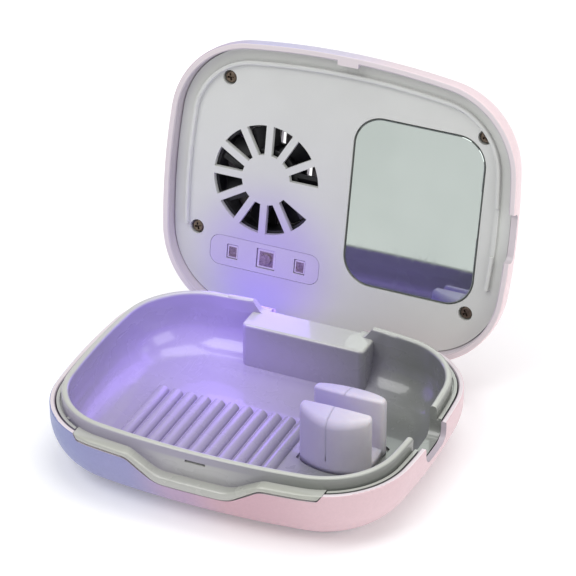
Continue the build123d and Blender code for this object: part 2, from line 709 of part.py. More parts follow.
# ---- lid: fan ----
def fan_housing():
    body = rounded_plate(FAN, (FAN_SIZE, FAN_SIZE), 1.5, (FAN_Z, FAN_BACK_Z))
    body -= disc(FAN, DUCT_RADIUS, (FAN_Z - 1, FAN_BACK_Z + 1))
    body += disc(FAN, HUB_RADIUS + 0.4, (FAN_DISC_Z, FAN_BACK_Z))
    for angle in (90, 210, 330):
        strut = Box(DUCT_RADIUS - 3, 2.2, 1.0)
        arm = Pos(DUCT_RADIUS / 2 + 3, 0, (FAN_DISC_Z + FAN_BACK_Z) / 2) * strut
        body += Pos(FAN_X, FAN_Y, 0) * Rot(0, 0, angle) * arm
    body += ring(FAN, BEARING_RADIUS, 2.4, (FAN_Z + 2.7, FAN_DISC_Z))
    body -= disc(FAN, BEARING_RADIUS, (FAN_DISC_Z - 1, FAN_BACK_Z - 0.4))
    aside = FAN_HOLE_PITCH / 2
    for sx in (-aside, aside):
        for sy in (-aside, aside):
            body -= disc((FAN_X + sx, FAN_Y + sy), 1.4, (FAN_Z - 1, FAN_BACK_Z + 1))
    return body


def fan_impeller():
    """Cup-shaped hub with seven pitched blades."""
    top = FAN_Z + 0.6
    hub = disc(FAN, HUB_RADIUS, (top, FAN_DISC_Z - 0.5))
    hub = fillet(hub.faces().sort_by(Axis.Z)[0].edges(), 0.5)
    hub -= disc(FAN, HUB_RADIUS - 0.9, (top + 0.9, FAN_BACK_Z))
    hub += disc(FAN, 1.8, (top + 0.5, top + 1.9))
    sweep_zone = ring(FAN, HUB_RADIUS - 0.4, DUCT_RADIUS - 0.5, (top + 0.1, FAN_DISC_Z - 0.7))
    for index in range(BLADE_COUNT):
        blade = Pos(11.0, 0, top + 1.9) * Rot(BLADE_ANGLE, 0, 0) * Box(8.0, 7.0, 0.8)
        hub += Pos(FAN_X, FAN_Y, 0) * Rot(0, 0, index * 360 / BLADE_COUNT) * blade & sweep_zone
    return hub - disc(FAN, SHAFT_RADIUS, (top + 0.9, FAN_BACK_Z))


def fan_shaft():
    return disc(FAN, SHAFT_RADIUS, (FAN_Z + 1.5, FAN_DISC_Z + 0.4))


def fan_magnet():
    return ring(FAN, HUB_RADIUS - 1.8, HUB_RADIUS - 0.9, (FAN_Z + 1.6, FAN_DISC_Z - 0.7))


def fan_bearing():
    return ring(FAN, SHAFT_RADIUS + 0.04, BEARING_RADIUS, (FAN_Z + 2.7, FAN_DISC_Z + 0.5))


def stator_pole(grow):
    """One arm of the core, from its hub to its tip."""
    middle_z = (CORE_Z[0] + CORE_Z[1]) / 2
    return Pos(4.0, 0, middle_z) * Box(3.0, 1.6 + grow, CORE_Z[1] - CORE_Z[0] + grow)


def fan_stator():
    """Four-pole laminated core."""
    core = ring(FAN, 2.42, 3.2, CORE_Z)
    tips = ring(FAN, 5.1, 5.6, CORE_Z)
    for angle in POLE_ANGLES:
        gap = Pos(5.2, 0, (CORE_Z[0] + CORE_Z[1]) / 2) * Box(3.0, 1.4, 4.0)
        tips -= Pos(FAN_X, FAN_Y, 0) * Rot(0, 0, angle + 45) * gap
        core += Pos(FAN_X, FAN_Y, 0) * Rot(0, 0, angle) * stator_pole(0)
    return core + tips


def fan_coils():
    coils = []
    for angle in POLE_ANGLES:
        coil = Pos(4.05, 0, (CORE_Z[0] + CORE_Z[1]) / 2) * Box(1.5, 3.0, 1.9)
        coil -= stator_pole(0.02)
        coils.append(Pos(FAN_X, FAN_Y, 0) * Rot(0, 0, angle) * coil)
    return Compound(children=coils)


def fan_board():
    return ring(FAN, 2.45, 6.2, (FAN_DISC_Z - 0.3, FAN_DISC_Z))


# ---- lid: lamps ----
def led_cover():
    """Flush white cover with one window over each lamp."""
    body = led_opening(0.1) & box((-FAR, FAR), (0, FAR), (PLATE_Z + 0.05, PLATE_Z + 1.0))
    for index in (-1, 0, 1):
        width, length = (5.4, 5.4) if index == 0 else (3.2, 4.0)
        x = LED_X + LED_PITCH * index
        body -= rounded_plate((x, LED_Y), (width, length), 0.3, (PLATE_Z - 1, PLATE_Z + 2))
    return body


def led_board():
    centre = (LED_X + LED_COVER_SHIFT, LED_Y)
    return rounded_plate(centre, (31.6, 9.6), 1.0, (LED_BOARD_Z, LED_BOARD_Z + 1.0))


def uvc_led():
    """Square ceramic package with a small round lens."""
    z = (PLATE_Z + 0.5, LED_BOARD_Z)
    body = rounded_plate((LED_X, LED_Y), (5.0, 5.0), 0.2, z)
    lens = Pos(LED_X, LED_Y, PLATE_Z + 0.5) * Sphere(1.5)
    lens &= disc((LED_X, LED_Y), 2.0, (PLATE_Z - 0.1, PLATE_Z + 0.6))
    return body + lens


def uva_leds():
    leds = []
    for side in (-1, 1):
        x = LED_X + LED_PITCH * side
        body = rounded_plate((x, LED_Y), (2.8, 3.5), 0.2, (PLATE_Z + 0.4, LED_BOARD_Z))
        body -= disc((x, LED_Y), 1.1, (PLATE_Z, PLATE_Z + 0.6))
        leds.append(body)
    return Compound(children=leds)


# ---- lid: electronics ----
def main_board():
    board = box((-29.0, 4.6), (-32.9, -17.3), (BOARD_Z, BOARD_TOP_Z))
    board = fillet(board.edges().filter_by(Axis.Z), 1.0)
    for place in BOARD_POSTS:
        board -= disc(place, 0.95, (BOARD_Z - 1, BOARD_Z + 3))
    return board


def board_screws():
    screws = []
    for place in BOARD_POSTS:
        head_z = BOARD_TOP_Z + 0.8
        head = disc(place, 1.5, (BOARD_TOP_Z, head_z))
        head -= Pos(place[0], place[1], head_z) * (Box(1.8, 0.4, 0.8) + Box(0.4, 1.8, 0.8))
        screws.append(head + disc(place, 0.62, (BOARD_Z - 1.4, BOARD_TOP_Z)))
    return Compound(children=screws)


def board_chips():
    """Controller, charger, coil and capacitors on the main board."""
    top = BOARD_TOP_Z
    chips = [
        box((-22.0, -17.0), (-27.0, -22.0), (top, top + 1.2)),
        box((-12.5, -9.5), (-31.5, -28.5), (top, top + 1.0)),
        rounded_plate((-9.5, -24.5), (5.0, 5.0), 1.2, (top, top + 2.2)),
        disc((-19.5, -30.2), 1.6, (top, top + 1.6)),
        disc((-15.3, -30.2), 1.6, (top, top + 1.6)),
    ]
    return Compound(children=chips)


def power_switch():
    """Tact switch body under the power key, with a well for its plunger."""
    x = (BUTTON_X - SWITCH_HALF, BUTTON_X + SWITCH_HALF)
    y = (BUTTON_Y - SWITCH_HALF, BUTTON_Y + SWITCH_HALF)
    body = box(x, y, (BOARD_TOP_Z, SWITCH_TOP_Z))
    body = chamfer(body.edges().filter_by(Axis.Z), 0.5)
    well_z = SWITCH_TOP_Z - PLUNGER_DEPTH - BUTTON_TRAVEL - SLIP
    return body - disc((BUTTON_X, BUTTON_Y), PLUNGER_RADIUS + SLIP, (well_z, SWITCH_TOP_Z + 1))


def switch_plunger():
    z = (SWITCH_TOP_Z - PLUNGER_DEPTH, SWITCH_TOP_Z + BUTTON_TRAVEL)
    return disc((BUTTON_X, BUTTON_Y), PLUNGER_RADIUS, z)


def power_button():
    """Round key, with a flange that keeps it in the lid and a stem to the switch."""
    centre = (BUTTON_X, BUTTON_Y)
    flange_z = (LID_INNER_Z - BUTTON_FLANGE, LID_INNER_Z - SLIP)
    top_z = LID_TOP_Z + BUTTON_PROUD
    key = disc(centre, BUTTON_RADIUS, (flange_z[0], top_z))
    key = fillet(key.faces().sort_by(Axis.Z)[-1].edges(), 0.35)
    dish_radius = 30.0
    dish_depth = 0.2
    key -= Pos(BUTTON_X, BUTTON_Y, top_z + dish_radius - dish_depth) * Sphere(dish_radius)
    key += disc(centre, BUTTON_RADIUS + BUTTON_FLANGE, flange_z)
    return key + disc(centre, 1.4, (SWITCH_TOP_Z + BUTTON_TRAVEL, flange_z[1]))


def light_ring():
    inner = BUTTON_RADIUS + SLIP
    z = (LID_TOP_Z - LIGHT_RING_DEPTH, LID_TOP_Z + 0.05)
    return ring((BUTTON_X, BUTTON_Y), inner, inner + LIGHT_RING_WIDTH, z)


def charge_board():
    z = (CHARGE_BOARD_Z, CHARGE_BOARD_Z + CHARGE_BOARD_THICKNESS)
    return box((-44.6, -37.4), (PORT_Y - 7.0, PORT_Y + 7.0), z)


def usb_port():
    """Metal shell of the charging socket, open towards the left side of the lid."""
    body = port_body(PORT_X, 0)
    return body - port_body((PORT_X[0] - 1, PORT_X[1] - 0.6), -PORT_METAL)


def usb_tongue():
    x = (PORT_X[0] + 1.0, PORT_X[1] - 0.6)
    return box(x, (PORT_Y - 3.3, PORT_Y + 3.3), (PORT_Z - 0.35, PORT_Z + 0.35))


def battery():
    cell = box(BATTERY_X, BATTERY_Y, (BATTERY_Z, BATTERY_TOP_Z))
    return fillet(cell.edges().filter_by(Axis.Y), 1.2)


def battery_foam():
    """Two foam strips that hold the cell down."""
    z = (BATTERY_TOP_Z, LID_INNER_Z)
    return Compound(children=[box(x, (-14.0, 13.0), z) for x in ((8.0, 13.0), (27.0, 32.0))])


def battery_leads():
    """Two leads from the end of the cell to the main board."""
    leads = []
    z = BATTERY_Z + 3.0
    for index in range(2):
        x = BATTERY_X[0] + 3.0 + 1.4 * index
        y = BATTERY_Y[0] - 2.6 - 1.4 * index
        end = (3.9, y)
        points = [(x, BATTERY_Y[0], z), (x, y, z), (*end, z), (*end, BOARD_TOP_Z)]
        leads.append(lead(points, 0.6, 0.4))
    return Compound(children=leads)


def fan_leads():
    """Two leads from the fan frame to the main board."""
    leads = []
    z = BOARD_TOP_Z + 0.9
    for index in range(2):
        x = -12.0 + 1.1 * index
        end = (x + 2.4, -20.0)
        points = [(x, FAN_Y - FAN_SIZE / 2, z), (x, -17.6, z), (*end, z), (*end, BOARD_TOP_Z)]
        leads.append(lead(points, 0.6, 0.35))
    return Compound(children=leads)


# ---- write every node ----
def build():
    for maker in (base_shell, rest_pad, weight_plate, tray, brush_clip, hinge_pin):
        save(maker.__name__, maker())
    lid_makers = (
        lid_shell, inner_plate, lid_screws, mirror, mirror_tape,
        fan_housing, fan_impeller, fan_shaft, fan_magnet, fan_bearing, fan_stator, fan_coils, fan_board,
        led_cover, led_board, uvc_led, uva_leds,
        main_board, board_screws, board_chips, power_switch, switch_plunger, power_button, light_ring,
        charge_board, usb_port, usb_tongue, battery, battery_foam, battery_leads, fan_leads,
    )
    for maker in lid_makers:
        save_lid(maker.__name__, maker())
    os.makedirs("parts", exist_ok=True)
    for name, shape in NODES.items():
        export_step(shape, f"parts/{name}.step")


build()
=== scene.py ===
import json
import math

import bmesh
import bpy
from mathutils import Matrix, Vector


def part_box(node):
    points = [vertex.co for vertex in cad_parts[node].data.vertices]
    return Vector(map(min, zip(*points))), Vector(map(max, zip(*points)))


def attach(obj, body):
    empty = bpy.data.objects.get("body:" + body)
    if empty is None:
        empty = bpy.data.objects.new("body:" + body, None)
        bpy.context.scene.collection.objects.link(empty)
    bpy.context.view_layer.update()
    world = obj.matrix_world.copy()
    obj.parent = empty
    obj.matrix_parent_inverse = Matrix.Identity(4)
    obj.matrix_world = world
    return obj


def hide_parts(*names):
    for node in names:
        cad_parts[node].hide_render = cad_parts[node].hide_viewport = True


# Looks of the toothbrush sanitizer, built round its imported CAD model.
# Metres throughout, in the part's own frame; materials work in millimetres of object space.

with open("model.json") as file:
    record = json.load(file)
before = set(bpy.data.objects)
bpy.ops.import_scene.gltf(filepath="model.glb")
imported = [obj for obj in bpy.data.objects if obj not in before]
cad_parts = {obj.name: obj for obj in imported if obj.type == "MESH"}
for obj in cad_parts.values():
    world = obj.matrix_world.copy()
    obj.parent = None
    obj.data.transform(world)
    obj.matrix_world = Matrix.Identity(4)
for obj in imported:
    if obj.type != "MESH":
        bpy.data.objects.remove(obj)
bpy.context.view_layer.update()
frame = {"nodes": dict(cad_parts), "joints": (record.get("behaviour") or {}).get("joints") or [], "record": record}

MM = 0.001
HINGE = next(joint for joint in frame["joints"] if joint["name"] == "lid_hinge")
HINGE_AT = Vector(HINGE["pos_m"])
OPENING = Matrix.Rotation(math.radians(HINGE["range_deg"][0]), 3, "X")
LID_OUT = OPENING @ Vector((0, 0, 1))


def swung(point):
    """Where a point given in the closed lid lies with the lid open."""
    return HINGE_AT + OPENING @ (Vector(point) - HINGE_AT)


def middle(node):
    """Centre of a CAD node's box."""
    low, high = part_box(node)
    return (low + high) / 2


# ---- materials ----
class Look:
    """One material's node tree, with short calls for the nodes that the looks share."""

    def __init__(self, name, **constants):
        self.material = bpy.data.materials.new(name)
        self.material.use_nodes = True
        self.tree = self.material.node_tree
        self.shader = self.tree.nodes["Principled BSDF"]
        for socket, value in constants.items():
            self.shader.inputs[socket.replace("_", " ")].default_value = value
        place = self.tree.nodes.new("ShaderNodeTexCoord").outputs["Object"]
        scale = self.tree.nodes.new("ShaderNodeVectorMath")
        scale.operation = "SCALE"
        scale.inputs["Scale"].default_value = 1 / MM
        self.tree.links.new(place, scale.inputs[0])
        self.place = scale.outputs[0]

    def put(self, socket, value):
        """Links a socket's output to an input, or sets a plain value on it."""
        if isinstance(value, bpy.types.NodeSocket):
            self.tree.links.new(value, socket)
        else:
            socket.default_value = value

    def axes(self, place=None):
        """The x, y and z of a place in millimetres, by default in object space."""
        node = self.tree.nodes.new("ShaderNodeSeparateXYZ")
        self.tree.links.new(place or self.place, node.inputs[0])
        return node.outputs[0], node.outputs[1], node.outputs[2]

    def vector(self, operation, a, b=None):
        node = self.tree.nodes.new("ShaderNodeVectorMath")
        node.operation = operation
        self.put(node.inputs[0], a)
        if b is not None:
            self.put(node.inputs[1], b)
        return node

    def stretched(self, x, y, z):
        """Object space with each axis scaled, for streaks and grain."""
        return self.vector("MULTIPLY", self.place, (x, y, z)).outputs[0]

    def noise(self, scale, detail=3.0, rough=0.5, place=None, distort=0.0):
        node = self.tree.nodes.new("ShaderNodeTexNoise")
        node.inputs["Scale"].default_value = scale
        node.inputs["Detail"].default_value = detail
        node.inputs["Roughness"].default_value = rough
        node.inputs["Distortion"].default_value = distort
        self.tree.links.new(place or self.place, node.inputs["Vector"])
        return node.outputs["Fac"]

    def cells(self, scale, feature="F1"):
        node = self.tree.nodes.new("ShaderNodeTexVoronoi")
        node.feature = feature
        node.inputs["Scale"].default_value = scale
        self.tree.links.new(self.place, node.inputs["Vector"])
        return node.outputs["Distance"]

    def calc(self, operation, a, b=0.0, c=0.0):
        node = self.tree.nodes.new("ShaderNodeMath")
        node.operation = operation
        self.put(node.inputs[0], a)
        self.put(node.inputs[1], b)
        self.put(node.inputs[2], c)
        return node.outputs[0]

    def span(self, value, low, high, to_low=0.0, to_high=1.0, smooth=True):
        """value from low to high, mapped and clamped."""
        node = self.tree.nodes.new("ShaderNodeMapRange")
        node.interpolation_type = "SMOOTHSTEP" if smooth else "LINEAR"
        self.put(node.inputs["Value"], value)
        limits = {"From Min": low, "From Max": high, "To Min": to_low, "To Max": to_high}
        for socket, number in limits.items():
            node.inputs[socket].default_value = number
        return node.outputs["Result"]

    def ramp(self, value, *stops):
        """Colour ramp of (position, colour) stops."""
        node = self.tree.nodes.new("ShaderNodeValToRGB")
        node.color_ramp.interpolation = "EASE"
        elements = node.color_ramp.elements
        while len(elements) < len(stops):
            elements.new(1.0)
        for element, (position, colour) in zip(elements, stops):
            element.position = position
            element.color = (*colour, 1.0)
        self.put(node.inputs[0], value)
        return node.outputs["Color"]

    def mix(self, amount, a, b, blend="MIX"):
        node = self.tree.nodes.new("ShaderNodeMix")
        node.data_type = "RGBA"
        node.blend_type = blend
        self.put(node.inputs["Factor"], amount)
        for socket, value in (("A", a), ("B", b)):
            colour_socket = next(s for s in node.inputs if s.name == socket and s.type == "RGBA")
            self.put(colour_socket, value if isinstance(value, bpy.types.NodeSocket) else (*value, 1.0))
        return next(s for s in node.outputs if s.type == "RGBA")

    def bump(self, height, depth_mm, under=None):
        """Relief of a depth in millimetres, on top of another relief where one is given."""
        node = self.tree.nodes.new("ShaderNodeBump")
        node.inputs["Distance"].default_value = depth_mm * MM
        self.put(node.inputs["Height"], height)
        if under is not None:
            self.tree.links.new(under, node.inputs["Normal"])
        return node.outputs["Normal"]

    def normal(self):
        return self.tree.nodes.new("ShaderNodeTexCoord").outputs["Normal"]

    def facing(self, direction):
        """How far the surface faces along a direction of the row frame, from -1 to 1."""
        return self.vector("DOT_PRODUCT", self.normal(), direction).outputs["Value"]

    def outward(self, centre):
        """Cosine between the surface's normal and the direction away from a point in metres."""
        away = self.vector("SUBTRACT", self.place, centre / MM).outputs[0]
        unit = self.vector("NORMALIZE", away).outputs[0]
        return self.vector("DOT_PRODUCT", unit, self.normal()).outputs["Value"]

    def distance(self, centre):
        """Distance in millimetres from a point in metres."""
        return self.vector("DISTANCE", self.place, centre / MM).outputs["Value"]

    def finish(self, colour, rough, normal=None):
        self.put(self.shader.inputs["Base Color"], colour)
        self.put(self.shader.inputs["Roughness"], rough)
        if normal is not None:
            self.put(self.shader.inputs["Normal"], normal)
        return self.material


def shade(colour, share):
    """A colour made darker or lighter, up to white."""
    return tuple(min(1.0, c * share) for c in colour)


def moulded(name, colour, spread=0.04, rough=0.45, grain=6.0, grain_depth=0.006, **constants):
    """Moulded plastic: a faint drift in colour, a fine spark-eroded grain, and uneven gloss."""
    look = Look(name, **constants)
    drift = look.noise(0.06, 2.0)
    base = look.ramp(drift, (0.3, shade(colour, 1 - spread)), (0.7, shade(colour, 1 + spread)))
    fine = look.noise(grain, 2.0, 0.6)
    gloss = look.span(look.noise(0.5, 4.0), 0.3, 0.7, rough - 0.05, rough + 0.06)
    return look.finish(base, gloss, look.bump(fine, grain_depth))


# Shares of the case's length from its left end, each with the lacquer's colour there.
BASE_TONES = (
    (0.00, (0.200, 0.235, 0.470)),
    (0.30, (0.270, 0.270, 0.500)),
    (0.46, (0.440, 0.310, 0.470)),
    (0.62, (0.555, 0.350, 0.410)),
    (1.00, (0.730, 0.530, 0.565)),
)
# The mauve at the lid's left end is partly a painted pink reflection, not only the lacquer's colour.
LID_TONES = (
    (0.00, (0.480, 0.330, 0.430)),
    (0.28, (0.520, 0.500, 0.700)),
    (0.45, (0.600, 0.560, 0.700)),
    (0.65, (0.760, 0.640, 0.680)),
    (1.00, (0.880, 0.700, 0.730)),
)
TONE_REACH = 48.0  # millimetres from the case's middle to either end of the tones

CASE_MIDDLE = Vector((0.0, 0.0, 17.0 * MM))
LAMP = middle("uvc_led")
# Half the width and height of each kind of lamp package, in millimetres.
LAMP_HALF = (2.5, 2.5)
SIDE_LAMP_HALF = (1.4, 1.75)


def painted_lamp_glow(look, reach, amount):
    """Share of painted violet lamp glow on a pale surface, strongest beside the lamps."""
    return look.span(look.distance(LAMP), 6.0, reach, amount, 0.0)


def shell_look(name, tones, centre, out, rim_highlight_tone, inner_shade_tone):
    """Soft-touch lacquer outside, fading from periwinkle to pink; painted highlight on the rim, painted shade
    within.
    """
    look = Look(name, IOR=1.5, Coat_Weight=0.18, Coat_Roughness=0.24)
    wander = look.calc("MULTIPLY_ADD", look.noise(0.02, 2.0), 10.0, -5.0)
    along = look.calc("ADD", look.axes()[0], wander)
    share = look.span(along, -TONE_REACH, TONE_REACH, smooth=False)
    colour = look.ramp(share, *tones)
    mottle = look.ramp(look.noise(1.4, 4.0, 0.6), (0.3, (0.96, 0.96, 0.96)), (0.7, (1.0, 1.0, 1.0)))
    colour = look.mix(1.0, colour, mottle, "MULTIPLY")
    # Faces turned along out, the rim faces, get a pale tone: a painted highlight along the rim.
    colour = look.mix(look.span(look.facing(out), 0.80, 0.97), colour, rim_highlight_tone)
    # Faces turned towards the case's middle get a darker grey-mauve tone: painted shade inside the shell.
    within = look.span(look.outward(centre), 0.05, -0.12)
    inner = look.ramp(look.noise(0.08, 2.0), (0.3, shade(inner_shade_tone, 0.93)), (0.7, inner_shade_tone))
    colour = look.mix(within, colour, inner)
    gloss = look.span(look.noise(0.8, 5.0, 0.6), 0.3, 0.7, 0.36, 0.48)
    peel = look.bump(look.noise(1.6, 2.0), 0.012)
    return look.finish(colour, gloss, look.bump(look.noise(14.0, 1.0), 0.002, under=peel))


def tray_look():
    """Semi-gloss moulded tray: painted highlight on the lip, pale flange, painted violet lamp glow, rubbing marks
    at the left end.
    """
    dark_grey, light_grey = (0.185, 0.195, 0.180), (0.210, 0.220, 0.203)
    painted_glow_violet = (0.410, 0.355, 0.560)
    lip_highlight_tone = (0.50, 0.51, 0.47)
    flange_tone = (0.43, 0.44, 0.39)
    rubbed_tone = (0.44, 0.40, 0.58)
    lip_z = 18.0
    look = Look("tray_moulded", IOR=1.5, Coat_Weight=0.55, Coat_Roughness=0.035)
    x, y, z = look.axes()
    body = look.ramp(look.noise(0.05, 3.0), (0.3, dark_grey), (0.7, light_grey))
    # Painted violet glow of the lamps, strongest to the left and low down.
    violet = look.calc("MULTIPLY", look.span(x, 30.0, -4.0), look.span(z, 20.0, 8.0, 0.55, 1.0))
    body = look.mix(look.calc("MULTIPLY", violet, 0.80), body, painted_glow_violet)
    # Faces turned up, high on the tray, get a lighter tone: a painted highlight on the lip.
    upward = look.span(look.facing((0.0, 0.0, 1.0)), 0.35, 0.95)
    lip = look.calc("MULTIPLY", look.span(z, 11.0, lip_z), upward)
    flange = look.calc("MULTIPLY", look.span(y, -35.0, -36.2), look.span(z, lip_z + 0.3, lip_z - 0.6))
    colour = look.mix(lip, body, lip_highlight_tone)
    colour = look.mix(look.calc("MULTIPLY", flange, 0.85), colour, flange_tone)
    rub = look.noise(0.35, 6.0, 0.7, look.stretched(1.0, 0.16, 1.0), 0.8)
    marks = look.calc("MULTIPLY", look.span(rub, 0.58, 0.66), look.span(x, -20.0, -34.0))
    colour = look.mix(look.calc("MULTIPLY", marks, 0.30), colour, rubbed_tone)
    gloss = look.span(look.noise(0.12, 3.0), 0.3, 0.7, 0.22, 0.30)
    gloss = look.calc("ADD", gloss, look.calc("MULTIPLY", marks, 0.22))
    gloss = look.calc("ADD", gloss, look.span(z, lip_z - 2.0, lip_z, 0.0, 0.14))
    ripple = look.bump(look.noise(0.10, 2.0), 0.05)
    return look.finish(colour, gloss, look.bump(look.noise(0.6, 2.0), 0.0015, under=ripple))


def plate_look():
    """White inner plate with a fine even spark-eroded texture, and painted violet lamp glow beside the lamps."""
    darker, lighter = (0.60, 0.612, 0.585), (0.635, 0.648, 0.62)
    look = Look("plate_moulded", IOR=1.5)
    base = look.ramp(look.noise(0.04, 3.0), (0.3, darker), (0.7, lighter))
    speck = look.span(look.noise(9.0, 1.0), 0.68, 0.74, 0.0, 0.12)
    base = look.mix(speck, base, (0.55, 0.55, 0.54))
    # Painted violet glow of the lamps on the plate.
    base = look.mix(painted_lamp_glow(look, 25.0, 0.62), base, (0.40, 0.31, 0.68))
    gloss = look.span(look.noise(1.5, 4.0), 0.3, 0.7, 0.46, 0.58)
    grain = look.bump(look.noise(4.5, 3.0, 0.7), 0.010)
    return look.finish(base, gloss, grain)


def mirror_look():
    """Silvered glass: faint haze and fingermarks change only the gloss."""
    darker, lighter = (0.43, 0.475, 0.45), (0.455, 0.50, 0.475)
    look = Look("mirror_silver", Metallic=1.0)
    tint = look.ramp(look.noise(0.05, 2.0), (0.3, darker), (0.7, lighter))
    smear = look.noise(0.35, 5.0, 0.6, look.stretched(1.0, 0.4, 0.4), 1.2)
    return look.finish(tint, look.span(smear, 0.45, 0.75, 0.025, 0.07))


def silicone_look(name, light, dark, rough, glow=0.0):
    """Soft silicone: milky, matt, with moulding grain and a little dust, and painted violet lamp glow on the side
    by the lamps.
    """
    look = Look(name, IOR=1.42, Subsurface_Weight=0.30, Subsurface_Scale=0.0015)
    look.shader.inputs["Subsurface Radius"].default_value = (1.0, 0.75, 0.6)
    base = look.ramp(look.noise(0.25, 4.0), (0.3, dark), (0.7, light))
    dust = look.span(look.noise(3.0, 2.0, 0.7), 0.66, 0.72, 0.0, 0.25)
    base = look.mix(dust, base, (0.62, 0.60, 0.60))
    if glow:
        # Painted violet lamp glow, stronger towards the left end.
        lit = look.span(look.axes()[0], 40.0, 12.0, 0.0, glow)
        base = look.mix(lit, base, (0.46, 0.40, 0.76))
    gloss = look.span(look.noise(0.9, 4.0), 0.3, 0.7, rough - 0.06, rough + 0.06)
    return look.finish(base, gloss, look.bump(look.noise(2.2, 4.0, 0.6), 0.012))


def metal_look(name, colour, rough, streak=(1.0, 1.0, 1.0), stain=0.15, grain=3.0):
    """Turned or stamped metal: directional grain, dull patches and slight staining."""
    look = Look(name, Metallic=1.0)
    base = look.ramp(look.noise(0.9, 5.0, 0.6), (0.35, shade(colour, 1 - stain)), (0.65, colour))
    lines = look.noise(grain, 4.0, 0.7, look.stretched(*streak))
    gloss = look.span(lines, 0.3, 0.7, rough - 0.08, rough + 0.10)
    return look.finish(base, gloss, look.bump(lines, 0.006))


def board_look(name, mask, copper):
    """Circuit board: solder mask over faint traces on a grid, with small pads."""
    look = Look(name, IOR=1.5, Coat_Weight=0.3, Coat_Roughness=0.15)
    track = look.span(look.cells(0.9, "DISTANCE_TO_EDGE"), 0.05, 0.09, 1.0, 0.0)
    pads = look.span(look.cells(0.45), 0.10, 0.14, 1.0, 0.0)
    track_tone = tuple(min(1.0, c * 1.7 + 0.01) for c in mask)
    base = look.mix(track, mask, track_tone)
    base = look.mix(pads, base, copper)
    gloss = look.span(look.noise(2.0, 3.0), 0.3, 0.7, 0.25, 0.42)
    return look.finish(base, gloss, look.bump(track, 0.03))


def lamp_look():
    """Lamp packages: a pale ceramic rim round a warm grey well."""
    look = Look("lamp_package", IOR=1.6)
    low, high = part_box("uva_leds")
    side_x = SIDE_LAMP_HALF[0] * MM
    packages = [(LAMP, LAMP_HALF)]
    for x in (low.x + side_x, high.x - side_x):
        packages.append((Vector((x, LAMP.y, LAMP.z)), SIDE_LAMP_HALF))
    nearest = None
    for centre, half in packages:
        x, _, z = look.axes(look.vector("SUBTRACT", look.place, centre / MM).outputs[0])
        across = look.calc("DIVIDE", look.calc("ABSOLUTE", x), half[0])
        upright = look.calc("DIVIDE", look.calc("ABSOLUTE", z), half[1])
        reach = look.calc("MAXIMUM", across, upright)
        nearest = reach if nearest is None else look.calc("MINIMUM", nearest, reach)
    rim = look.span(nearest, 0.74, 0.82)
    well = look.ramp(look.noise(1.5, 4.0), (0.3, (0.15, 0.10, 0.15)), (0.7, (0.26, 0.19, 0.26)))
    base = look.mix(rim, well, (0.62, 0.55, 0.72))
    gloss = look.span(look.noise(2.0), 0.3, 0.7, 0.22, 0.38)
    return look.finish(base, gloss, look.bump(look.noise(3.0), 0.01))


def lead_look(name, colour):
    """Insulated wire: a satin, slightly uneven skin."""
    look = Look(name, IOR=1.45)
    base = look.ramp(look.noise(0.8, 3.0), (0.3, shade(colour, 0.8)), (0.7, colour))
    gloss = look.span(look.noise(1.5), 0.3, 0.7, 0.32, 0.45)
    return look.finish(base, gloss, look.bump(look.noise(2.5, 3.0), 0.02))


def foam_look(name, colour):
    """Open-cell foam, its pores painted darker as shade in the hollows."""
    look = Look(name)
    pores = look.cells(1.8)
    # The pores are painted darker: painted shade in their hollows.
    base = look.ramp(pores, (0.15, shade(colour, 0.3)), (0.5, colour))
    return look.finish(base, look.span(pores, 0.1, 0.6, 0.75, 0.95), look.bump(pores, 0.15))


